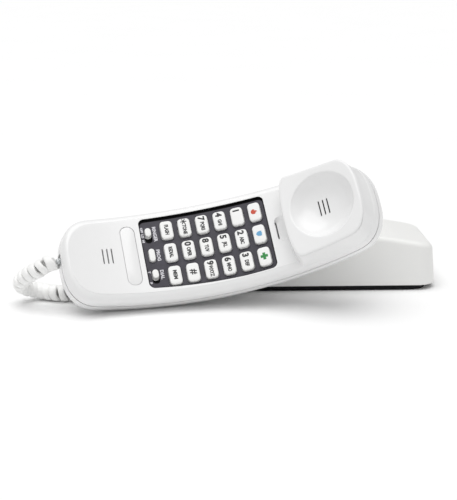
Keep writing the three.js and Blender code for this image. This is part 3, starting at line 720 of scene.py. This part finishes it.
def ear_block():
    """The raised block round the earpiece, with a groove under its lip."""
    # each ring's inset, height, shifts of its start and end, and the length of its end's corners
    wall = smooth_profile([
        (0.5, -7, -1.6, 0.5, 22), (0.6, -4, -1.0, 0.6, 21.5), (1.1, 0, 0, 0.9, 20), (2.0, 5, 0.7, 1.2, 18),
        (2.6, 9, 1.3, 1.25, 16), (2.75, 9.9, 1.5, 1.3, 15.5),
    ], 4)
    groove = [(5.4, 9.9, 1.52, 1.32, 15), (5.4, 10.85, 1.6, 1.38, 15)]
    lip = smooth_profile([
        (2.5, 10.9, 1.62, 1.4, 15), (2.45, 11.25, 1.75, 1.5, 15), (2.8, 11.7, 2.1, 1.8, 15),
        (3.9, 12, 3.1, 2.6, 15),
    ], 3)
    lip[:, 1] = np.minimum(lip[:, 1], EAR_BLOCK["height"])
    points, faces = mirrored_solid(ear_block_ring, [*wall, *groove, *lip])
    return make_object("block", on_handset(points), faces, WHITE)


def front_housing():
    side = smooth_profile([
        (0.0, SEAM_FRONT + 0.2), (0.02, -7.5), (0.15, -5.3), (0.5, -3.7), (1.15, -2.4), (2.1, -1.4),
        (3.3, -0.75), (4.75, -0.3),
    ], 3)
    edge = [(4.95, -0.28), (5.1, -0.04), (5.4, 0.0)]
    levels = [(inset, n, MOUTH_EDGE_SHARE) for inset, n in [(0.15, SEAM_FRONT), *side, *edge]]
    points, faces = mirrored_solid(housing_ring, levels)
    made = make_object("handset_front_shell", on_handset(points), faces, WHITE)
    combine(made, ear_block(), "UNION")
    floor = EAR_BLOCK["height"] - DISH["depth"]
    recess = PANEL["top"] - PANEL["thickness"] - GAP
    scoop = [(grow, share * NOTCH["depth"]) for grow, share in NOTCH_SCOOP]
    badge_levels = [(GAP, BADGE_BOTTOM - GAP), (GAP, -0.1), (0.4, 0.02), (0.8, 2)]
    cut(made, [
        tool(mirrored_solid(housing_ring, [(2.3, -11.5), (2.7, -5.6), (5.2, -3.6)])),
        face_cutter(patch_ring(*EAR_ROOM_PATCH), [(0, -6), (0, 3)]),
        dish_cutter(),
        *slot_cutters(*EAR_SLOTS, 1, floor + 0.05),
        *slot_cutters(*MOUTH_SLOTS, -6, 0),
        tool(mirrored_solid(panel_ring, [(GAP, recess), (GAP, -0.14), (0.45, 0.01), (1.2, 3)])),
        tool(mirrored_solid(panel_ring, [(-1.6, -8), (-1.6, 0)])),
        face_cutter(patch_ring(*BADGE_PATCH), badge_levels),
        face_cutter(notch_ring, [*scoop, (0.3, 3)]),
        face_cutter(patch_ring(*NOTCH_SLIT_PATCH), [(0, -6), (0, 1)]),
        plug_opening(handset_jack_place()),
    ])
    finish_piece(made, "handset", "housing_white", "handset_front_housing")


def back_housing():
    outline = smooth_profile([
        (0.05, -12.5), (0.3, -15), (1.1, -18), (2.8, -20.4), (5.8, -22.5), (10, -23.9), (16, -24.5),
    ], 4)
    levels = [(0.15, SEAM_BACK), (0.0, SEAM_BACK - 0.2), *outline]
    points, faces = mirrored_solid(housing_ring, levels)
    made = make_object("handset_back_shell", on_handset(points), faces, WHITE)
    inner = smooth_profile([
        (2.3, -9.2), (2.7, -15), (3.6, -17.6), (5.2, -19.4), (8, -20.9), (12, -21.8), (17, -22.2),
    ], 2)
    screw_hole = turned([(0, -30), (3.4, -30), (3.4, -24.4), (2.9, -23.9), (2.9, -17), (0, -17)], 32)
    cut(made, [
        tool(mirrored_solid(housing_ring, inner)),
        plug_opening(handset_jack_place()),
        *[tool(screw_hole, at_face(s, 0)) for s in HANDSET_SCREWS],
    ])
    finish_piece(made, "handset", "housing_white", "handset_back_housing")


def keypad_panel():
    bottom, top = PANEL["top"] - PANEL["thickness"], PANEL["top"]
    levels = [(grow, n, PLATE_FAR_SHIFT) for grow, n in [(-0.35, bottom), (-0.35, top - 0.15), (-0.5, top)]]
    points, faces = mirrored_solid(panel_ring, levels)
    made = make_object("keypad_faceplate", on_handset(points), faces, CHARCOAL)
    places = [(*key_place(c, r), KEY["along"], KEY["across"], KEY["corner"] + 0.35) for c, r in KEY_CELLS]
    places += [
        (CONTROL_S, v - travel / 2, CONTROL["along"], across + travel, 2.2)
        for v, across, travel in CONTROLS.values()
    ]
    opening = [(0, bottom - 1), (0, top - 0.12), (0.15, top + 0.02), (0.3, top + 1)]
    cut(made, [
        face_cutter(patch_ring(s, v, along + 0.7, across + 0.7, corner), opening)
        for s, v, along, across, corner in places
    ])
    finish_piece(made, "handset", "panel_charcoal", "keypad_panel")


def frame_part(rings):
    """A closed band through rings of equally many points, listed round the band's section."""
    points, faces = stack(rings)
    count, last = len(rings[0]), (len(rings) - 1) * len(rings[0])
    faces.extend((last + i, last + (i + 1) % count, (i + 1) % count, i) for i in range(count))
    return points, faces


def painted_shade_liners():
    """Black pieces painting shade in the gap between the housings and round the faceplate's recess."""
    # painted shade: a black band inside the gap between the housings stands for the gap's shadow
    low, high = SEAM_BACK + 0.05, SEAM_FRONT - 0.05
    outer = [housing_ring(*level) for level in [(0.7, low), (0.65, (low + high) / 2), (0.7, high)]]
    points, faces = frame_part([*outer, housing_ring(2.1, high), housing_ring(2.1, low)])
    seam = make_object("housing_seam_painted_shade", on_handset(points), faces, BLACK)
    # painted shade: a black frame lining the faceplate's recess stands for the shadow along its edges
    floor = PANEL["top"] - PANEL["thickness"] - 0.2
    outer = [(0.27, floor), (0.27, -0.4), (0.12, -0.34), (0.0, -0.4)]
    inner = [(-0.02, floor + 0.15), (-2.2, floor + 0.15), (-2.2, floor)]
    points, faces = frame_part([panel_ring(*level) for level in outer + inner])
    rim = make_object("keypad_recess_painted_shade", on_handset(points), faces, BLACK)
    for made in (seam, rim):
        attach(made, "handset")


def dust_screens():
    """Black felt behind the sound slots."""
    for name, place, radius, low in (
        ("mouth_dust_screen", MOUTH_SLOTS, 9.0, -3.9), ("ear_dust_screen", EAR_SLOTS, 13.0, 2.72),
    ):
        edge = [(radius, low), (radius + 0.1, low + 0.1), (radius, low + 0.2)]
        points, faces = turned([(0, low), *edge, (0, low + 0.2)], 40)
        made = make_object(name, at_face(*place)(points), faces, FELT)
        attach(made, "handset")


def badge_plate():
    levels = [(0, BADGE_BOTTOM), (0, BADGE_TOP - 0.25), (-0.07, BADGE_TOP - 0.08), (-0.25, BADGE_TOP)]
    points, faces = lofted(patch_ring(*BADGE_PATCH), levels)
    made = make_object("badge_strip", on_handset(points), faces, WHITE)
    finish_piece(made, "handset", "housing_white", "badge_plate")


# ---- keys and legends
KEY_NAMES = [
    ("key_flash", "key_redial", "key_memory"), ("key_star", "key_0", "key_hash"),
    ("key_7", "key_8", "key_9"), ("key_4", "key_5", "key_6"), ("key_1", "key_2", "key_3"),
    ("key_fire", "key_police", "key_medical"),
]
KEY_CELLS = [(column, row) for column in range(6) for row in range(3)]
WORD_KEYS = {"key_flash": "FLASH", "key_redial": "REDIAL", "key_memory": "MEM"}
KEY_WORDS = {
    "key_star": ("*", "TONE"), "key_0": ("0", "OPER"),
    "key_1": ("1", ""), "key_2": ("2", "ABC"), "key_3": ("3", "DEF"), "key_4": ("4", "GHI"),
    "key_5": ("5", "JKL"), "key_6": ("6", "MNO"), "key_7": ("7", "PQRS"), "key_8": ("8", "TUV"),
    "key_9": ("9", "WXYZ"),
}
WORD_SPREAD = {"FLASH": 0.78, "REDIAL": 0.7, "MEM": 0.95}
LETTER_SPREAD = 0.76
FLAME = [
    (0.0, -1.9), (-1.0, -1.5), (-1.5, -0.5), (-1.2, 0.4), (-0.75, -0.1), (-0.5, 0.9), (0.2, 1.9),
    (0.35, 0.9), (0.85, 0.5), (1.0, 1.0), (1.45, -0.1), (1.35, -1.1), (0.8, -1.7),
]
HALF_SHIELD = [(0, 1.8), (0.8, 1.5), (1.5, 1.6), (1.6, 0.2), (1.2, -1.0), (0, -1.9)]
SHIELD = HALF_SHIELD + [(-x, y) for x, y in HALF_SHIELD[-2:0:-1]]
HALF_CROSS = [(-0.95, -2.5), (0.95, -2.5), (0.95, -0.95), (2.5, -0.95), (2.5, 0.95), (0.95, 0.95)]
CROSS = HALF_CROSS + [(-x, -y) for x, y in HALF_CROSS]
SIGNS = {  # outline, scale and colour
    "key_fire": (FLAME, 1.25, LEGEND_RED),
    "key_police": (SHIELD, 1.15, LEGEND_BLUE),
    "key_medical": (CROSS, 1.0, LEGEND_GREEN),
}


def key_place(column, row):
    return (column - 2.5) * KEY_PITCH, KEY_MIDDLE + (1 - row) * KEY_ROW_PITCH


def dome_drop(u, w, cap):
    """How far a slightly domed cap's top is below its middle, at a place measured from there."""
    return cap["dome"] * ((2 * u / cap["along"]) ** 2 + (2 * w / cap["across"]) ** 2) / 2


def cap_solid(cap):
    """Vertices and faces of a moulded cap: skirt, straight stem, rounded edge and domed top."""
    def ring_at(inset, height):
        along, across = cap["along"] - 2 * inset, cap["across"] - 2 * inset
        return rounded_ring(along, across, max(cap["corner"] - inset, 0.25), height, 6)

    rings = [ring_at(-0.5, KEY_FLOOR), ring_at(-0.5, KEY_FLOOR + 0.5), ring_at(0, KEY_FLOOR + 0.55)]
    for inset, height in fillet(cap["top"], cap["round"], 7):
        ring = ring_at(inset, height)
        ring[:, 2] -= dome_drop(ring[:, 0], ring[:, 1], cap)
        rings.append(ring)
    for share in (0.75, 0.45, 0.15):
        ring = ring_at(cap["round"], 0) * (share, share, 1)
        ring[:, 2] = cap["top"] - dome_drop(ring[:, 0], ring[:, 1], cap)
        rings.append(ring)
    return capped(rings)


def make_key(name, s, v, cap):
    points, faces = cap_solid(cap)
    label = name.replace("key_", "cap_") + "_cap"
    made = make_object(label, at_face(s, v)(points), faces, KEY_WHITE, sharp=40.0)
    finish_piece(made, name, "key_white", name)


def text_part(words, size, weight):
    """Flat letters as vertices and faces about their own middle, x along the line and y up."""
    curve = bpy.data.curves.new("letters", "FONT")
    curve.body = words
    curve.size = size
    curve.offset = weight
    curve.align_x = "CENTER"
    curve.align_y = "CENTER"
    curve.resolution_u = 3
    curve.extrude = LEGEND_HALF
    holder = linked("letters", curve)
    mesh = bpy.data.meshes.new_from_object(holder.evaluated_get(bpy.context.evaluated_depsgraph_get()))
    points = np.array([tuple(p.co) for p in mesh.vertices])
    faces = [tuple(p.vertices) for p in mesh.polygons]
    bpy.data.objects.remove(holder)
    bpy.data.meshes.remove(mesh)
    bpy.data.curves.remove(curve)
    middle = (points[:, 1].max() + points[:, 1].min()) / 2
    points[:, 1] -= middle
    return points, faces


def laid(part, v, s=0.0, spread=1.0):
    """Letters turned as on the keypad: they read along -v and their tops point along +s."""
    points, faces = part
    return np.stack([points[:, 1] + s, v - points[:, 0] * spread, points[:, 2]], axis=1), faces


def legend(name, parts, place, height_of, material, body):
    points, faces = joined(*parts)
    points[:, 2] += height_of(points[:, 0], points[:, 1]) + LEGEND_LIFT
    made = make_object(name, place(points), faces, material, sharp=30.0)
    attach(made, body)


def polygon_part(outline, scale=1.0):
    """A thin slab with the given outline."""
    ring = np.array([(x * scale, y * scale, 0.0) for x, y in outline])
    return capped([ring - (0, 0, LEGEND_HALF), ring + (0, 0, LEGEND_HALF)])


def star_part():
    """A six-armed star from three crossed bars."""
    bars = []
    for turn in range(3):
        a = turn * math.pi / 3 + math.pi / 2
        along = np.array((math.cos(a), math.sin(a))) * 2.1
        aside = np.array((-math.sin(a), math.cos(a))) * 0.33
        bars.append(polygon_part([along + aside, -along + aside, -along - aside, along - aside]))
    return joined(*bars)


def make_keys():
    for column, row in KEY_CELLS:
        name = KEY_NAMES[column][row]
        s, v = key_place(column, row)
        make_key(name, s, v, KEY)
        key_legend(name, s, v)


def key_legend(name, s, v):
    def height_of(u, w):
        return KEY["top"] - dome_drop(u, w, KEY)

    material = LEGEND_DARK
    if name in SIGNS:
        outline, scale, material = SIGNS[name]
        parts = [laid(polygon_part(outline, scale), 0.0)]
    elif name == "key_hash":
        parts = [laid(text_part("#", *HASH_TEXT), 0.0)]
    elif name in WORD_KEYS:
        word = WORD_KEYS[name]
        parts = [laid(text_part(word, *WORD_TEXT), 0.0, 0.0, WORD_SPREAD[word])]
    else:
        digit, letters = KEY_WORDS[name]
        mark = star_part() if digit == "*" else text_part(digit, *DIGIT_TEXT)
        parts = [laid(mark, DIGIT_V)]
        if letters:
            parts.append(laid(text_part(letters, *WORD_TEXT), LETTERS_V, 0.0, LETTER_SPREAD))
    legend("legend_" + name[4:], parts, at_face(s, v), height_of, material, name)


def make_controls():
    for name, (v, across, _) in CONTROLS.items():
        make_key(name, CONTROL_S, v, {**CONTROL, "across": across})


def panel_legends():
    words = [
        ("RINGER", 15.2, 4.7, 3.2), ("OFF", 19.0, -3.9, 2.2), ("LO", 14.6, -3.9, 2.2),
        ("HI", 10.6, -3.9, 2.2), ("PROG", -0.8, 4.6, 3.2), ("DIAL", -15.2, 4.7, 3.2),
        ("T", -12.6, -3.9, 2.4), ("P", -20.6, -3.9, 2.4),
    ]
    parts = [laid(text_part(word, size, PANEL_TEXT_WEIGHT), v, shift) for word, v, shift, size in words]

    def height_of(u, w):
        return PANEL["top"] + u**2 / (2 * HANDSET["bend"])

    place = at_face(CONTROL_S, 0)
    legend("legend_controls", parts, place, height_of, LEGEND_PALE, "handset")


# ---- base
def arch(x):
    return BASE["crown"] - x**2 / (2 * BASE["arch"])


def base_outline(inset):
    """The base's outline, with the same number of points whatever the inset."""
    full = subdivided(rounded_ring(BASE["length"], BASE["width"], BASE["corner"], 0, 10), 5.0)
    half_length, half_width, corner = BASE["length"] / 2, BASE["width"] / 2, BASE["corner"]
    cx = np.clip(full[:, 0], -half_length + corner, half_length - corner)
    cy = np.clip(full[:, 1], -half_width + corner, half_width - corner)
    direction = full[:, :2] - np.stack([cx, cy], axis=1)
    length = np.linalg.norm(direction, axis=1)
    unit = direction / np.maximum(length, 1e-9)[:, None]
    kept = max(corner - inset, 0.0)
    over = max(inset - corner, 0.0)
    shrink = np.array([1 - over / (half_length - corner), 1 - over / (half_width - corner)])
    made = np.stack([cx, cy], axis=1) * shrink + unit * kept
    return np.concatenate([made, np.zeros((len(made), 1))], axis=1)


def base_rings(extra, drop, low, rounding):
    """Rings of the drafted wall, the rounded top edge and the arched top.

    extra is the wall's distance inside the outline, and drop the top's below the outer one.
    """
    rings = []
    for share in (0.0, 0.02, 0.5, 1.0):
        ring = base_outline(extra)
        top = arch(ring[:, 0]) - drop - rounding
        z = low + share * (top - low)
        shrink = (z - BASE["bottom"])[:, None] * np.array((BASE_END_DRAFT, BASE_DRAFT))
        unit = ring[:, :2] - base_outline(extra + 1.0)[:, :2]
        foot = BASE_FOOT_INSET if share == 0.0 and extra == 0 else 0.0
        ring[:, :2] -= unit * (shrink + foot)
        ring[:, 2] = z
        rings.append(ring)
    last = rings[-1]
    unit = base_outline(extra)[:, :2] - base_outline(extra + 1.0)[:, :2]
    for a in np.linspace(0, math.pi / 2, 8)[1:]:
        ring = last.copy()
        ring[:, :2] -= unit * rounding * (1 - math.cos(a))
        ring[:, 2] = arch(ring[:, 0]) - drop - rounding * (1 - math.sin(a))
        rings.append(ring)
    edge = rings[-1]
    for share in (0.15, 0.35, 0.6, 0.85, 1.0):
        ring = edge.copy()
        spine = np.clip(edge[:, 0], -BASE_SPINE, BASE_SPINE)
        ring[:, 0] += (spine - edge[:, 0]) * share
        ring[:, 1] *= 1 - share
        ring[:, 2] = arch(ring[:, 0]) - drop
        rings.append(ring)
    return rings


def arched_solid(rings):
    """A solid whose last ring folds flat into a ridge, where its two sides merge."""
    points, faces = stack(rings)
    faces.append(tuple(reversed(range(len(rings[0])))))
    return points, faces


def seat_cutter():
    """The recess that takes the ear block."""
    middle, length = (SEAT["start"] + SEAT["end"]) / 2, SEAT["end"] - SEAT["start"]
    floor = SEAT["floor"]

    def seat_ring(grow, z):
        along, across = length + 2 * grow, SEAT["width"] + 2 * grow
        return rounded_ring(along, across, SEAT["corner"] + grow, z, 8, (middle, 0))

    levels = [(-0.8, floor), (-0.25, floor + 0.25), (0, floor + 0.8), (0, OVER_BASE)]
    return tool(lofted(seat_ring, levels), plain)


def base_cavity():
    """The base's inside, which leaves a shelf under the seat."""
    cavity = tool(arched_solid(base_rings(BASE_WALL, BASE_WALL, BASE["bottom"] - 3, 0.8)), plain)
    side = SEAT["width"] / 2 + SHELF_MARGIN
    low = (SEAT["start"] - SHELF_MARGIN, -side, SEAT["floor"] - BASE_WALL)
    cut(cavity, [tool(box_part(low, (SEAT["end"] + SHELF_MARGIN, side, OVER_BASE)), plain)])
    return cavity


def base_shell():
    points, faces = arched_solid(base_rings(0.0, 0.0, BASE["bottom"], BASE_ROUND))
    made = make_object("base_cover", plain(points), faces, BASE_WHITE)
    bore, mouth = PLUNGER["radius"] + 0.4, PLUNGER["radius"] + 0.9
    hole = [(0, 20), (bore, 20), (bore, 36.5), (mouth, 37), (mouth, OVER_BASE), (0, OVER_BASE)]
    half, side = TAB["thickness"] / 2 + GAP, TAB["width"] / 2 + GAP
    cut(made, [
        base_cavity(),
        seat_cutter(),
        tool(turned(hole, 32, (PLUNGER["x"], 0)), plain),
        tool(box_part((TAB["x"] - half, -side, 30), (TAB["x"] + half, side, OVER_BASE)), plain),
        plug_opening(base_jack_place()),
        plug_opening(line_jack_place()),
    ])
    finish_piece(made, "base", "housing_white", "base_shell")


def base_jack_place():
    wall = BASE["width"] / 2 - (JACK_Z - BASE["bottom"]) * BASE_DRAFT
    return framed((BASE_JACK_X, wall, JACK_Z), (0, 1, 0), (1, 0, 0))


def line_jack_place():
    wall = -BASE["length"] / 2 + (JACK_Z - BASE["bottom"]) * BASE_END_DRAFT
    return framed((wall, 0, JACK_Z), (-1, 0, 0), (0, 1, 0))


def hook_parts():
    head = SEAT["floor"] + PLUNGER["rise"]
    under = SEAT["floor"] - BASE_WALL - GAP
    r = PLUNGER["radius"]
    profile = [(0, 22), (r - 0.4, 22), (r - 0.4, under - 1.6), (5, under - 1.6), (5, under), (r, under)]
    profile += [(r - inset, height) for inset, height in fillet(head, 1.3, 6)] + [(0, head)]
    points, faces = turned(profile, 40, (PLUNGER["x"], 0))
    made = make_object("hook_plunger_pin", plain(points), faces, WHITE)
    finish_piece(made, "hook_plunger", "housing_white", "hook_plunger")

    def tab_ring(inset, z):
        along, across = TAB["thickness"] - 2 * inset, TAB["width"] - 2 * inset
        return rounded_ring(along, across, 0.9 - inset * 0.9, z, 5, (TAB["x"], 0))

    levels = [(0, TAB["bottom"]), (0, TAB["top"] - 0.8)] + fillet(TAB["top"], 0.8, 5)
    points, faces = lofted(tab_ring, levels)
    made = make_object("hang_up_hook", plain(points), faces, WHITE)
    finish_piece(made, "hang_up_tab", "housing_white", "hang_up_tab")


def plunger_spring():
    """The coil spring under the plunger's collar, with closed ends."""
    low, high = np.array(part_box("plunger_spring")) / MM
    middle, wire = (low + high) / 2, SPRING["wire"]
    share = np.linspace(0, 1, SPRING["turns"] * SPRING["steps"])
    angle = 2 * math.pi * SPRING["turns"] * share
    outward = np.stack([np.cos(angle), np.sin(angle), np.zeros(len(angle))], axis=1)
    line = outward * ((high[0] - low[0]) / 2 - wire / 2)
    line[:, 2] = low[2] + wire + (high[2] - low[2] - 2 * wire) * (share - np.sin(2 * math.pi * share) / 9)
    line[:, :2] += middle[:2]
    points, faces = sweep(line, outward, np.full(len(line), wire), wire, 2.0, 8)
    made = make_object("plunger_coil_spring", plain(points), faces, STEEL)
    finish_piece(made, "base", "zinc_steel", "plunger_spring")
    foot = plain((middle[0], middle[1], low[2]))
    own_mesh(made)


def base_plate():
    def plate_ring(inset, z):
        along, across = PLATE["length"] - 2 * inset, PLATE["width"] - 2 * inset
        return rounded_ring(along, across, PLATE["corner"] - inset, z, 12)

    levels = [(0.9, 0), (0.35, 0.35), (0.08, 1.0), (0, 1.6), (0, PLATE["thickness"])]
    points, faces = lofted(plate_ring, levels)
    made = make_object("base_bottom", plain(points), faces, BLACK)
    head, depth, hole = PLATE_SCREW["head"], PLATE_SCREW["head_depth"], PLATE_SCREW["hole"]
    low, high = -1, 5  # past the plate's two faces
    screw = [(0, low), (head, low), (head, depth), (hole, depth), (hole, high), (0, high)]
    half = KEYHOLE["slot_half"]
    solids = [lofted(plate_ring, [(4, 2), (4, high)])]
    for side in (-1, 1):
        x = side * KEYHOLE["x"]
        solids.append(pin(KEYHOLE["radius"], low, high, 32, (x, 0)))
        solids.append(box_part((x, -half, low), (x + KEYHOLE["slot"], half, high)))
        for y in (-FOOT["y"], FOOT["y"]):
            solids.append(pin(FOOT["radius"], low, FOOT["depth"], 32, (side * FOOT["x"], y)))
        for y in (-PLATE_SCREW["y"], PLATE_SCREW["y"]):
            solids.append(turned(screw, 24, (side * PLATE_SCREW["x"], y)))
    cut(made, [tool(solid, plain) for solid in solids])
    finish_piece(made, "base", "black_plastic", "base_plate")


# ---- plugs
def make_plug(name, place, body, node):
    x, y, along, tail = PLUG["height"] / 2 - 0.3, PLUG["width"] / 2, PLUG["along"], PLUG["tail"]

    def ring_at(inset, z):
        return rounded_ring(2 * (x - inset), 2 * (y - inset), max(0.6 - inset, 0.1), z, 4)

    body_part = lofted(ring_at, [(0.4, -along), (0, -along + 0.5), (0, -0.6), (0.5, 0)])
    neck = turned([(0, -0.2), (1.9, -0.2), (1.9, tail - 0.4), (1.5, tail), (0, tail)], 24)
    latch = box_part((x - 0.1, -1.6, -along + 1), (x + 0.3, 1.6, -1))
    points, faces = joined(body_part, neck, latch)
    made = make_object(name, place(points), faces, CLEAR, sharp=40.0)
    finish_piece(made, body, "clear_plastic", node)
    return made


handset_plug = make_plug("handset_cord_plug", handset_jack_place(), "handset", "handset_plug")
base_plug = make_plug("base_cord_plug", base_jack_place(), "base", "base_plug")
tuple(cord_path[0])
[tuple(p) for p in cord_path]

front_housing()
back_housing()
dust_screens()
painted_shade_liners()
keypad_panel()
badge_plate()
make_keys()
make_controls()
panel_legends()
base_shell()
hook_parts()
plunger_spring()
base_plate()


# ---- carried-over CAD nodes
CAD_MATERIALS = {
    "zinc_steel": STEEL, "black_plastic": BLACK, "grey_rubber": RUBBER, "circuit_board": BOARD,
    "clear_plastic": CLEAR, "housing_white": WHITE, "key_white": KEY_WHITE, "panel_charcoal": CHARCOAL,
    "cord_white": CORD_WHITE,
}


def dress_cad_nodes():
    for part in frame["record"]["subparts"]:
        node = frame["nodes"][part["node"]]
        node.data.materials.clear()
        node.data.materials.append(CAD_MATERIALS[part["material_slot"]])


dress_cad_nodes()


# ---- studio
def make_floor():
    mesh = bpy.data.meshes.new("floor")
    corners = [(x * FLOOR_REACH, y * FLOOR_REACH, 0) for x, y in ((-1, -1), (1, -1), (1, 1), (-1, 1))]
    mesh.from_pydata(corners, [], [(0, 1, 2, 3)])
    mesh.materials.append(FLOOR_PAPER)
    linked("floor", mesh)


def make_light():
    data = bpy.data.lights.new("overhead_light", "SUN")
    data.energy = OVERHEAD["strength"]
    data.angle = math.radians(OVERHEAD["spread"])
    light = linked("overhead_light", data)
    light.rotation_euler = Vector(OVERHEAD["direction"]).to_track_quat("Z", "Y").to_euler()


def make_world():
    world = bpy.data.worlds.new("studio")
    bpy.context.scene.world = world
    world.use_nodes = True
    background = world.node_tree.nodes["Background"]
    background.inputs["Color"].default_value = (1.0, 1.0, 1.0, 1.0)
    background.inputs["Strength"].default_value = WORLD_STRENGTH


make_floor()
make_light()
make_world()
bpy.context.scene.view_settings.view_transform = "Standard"
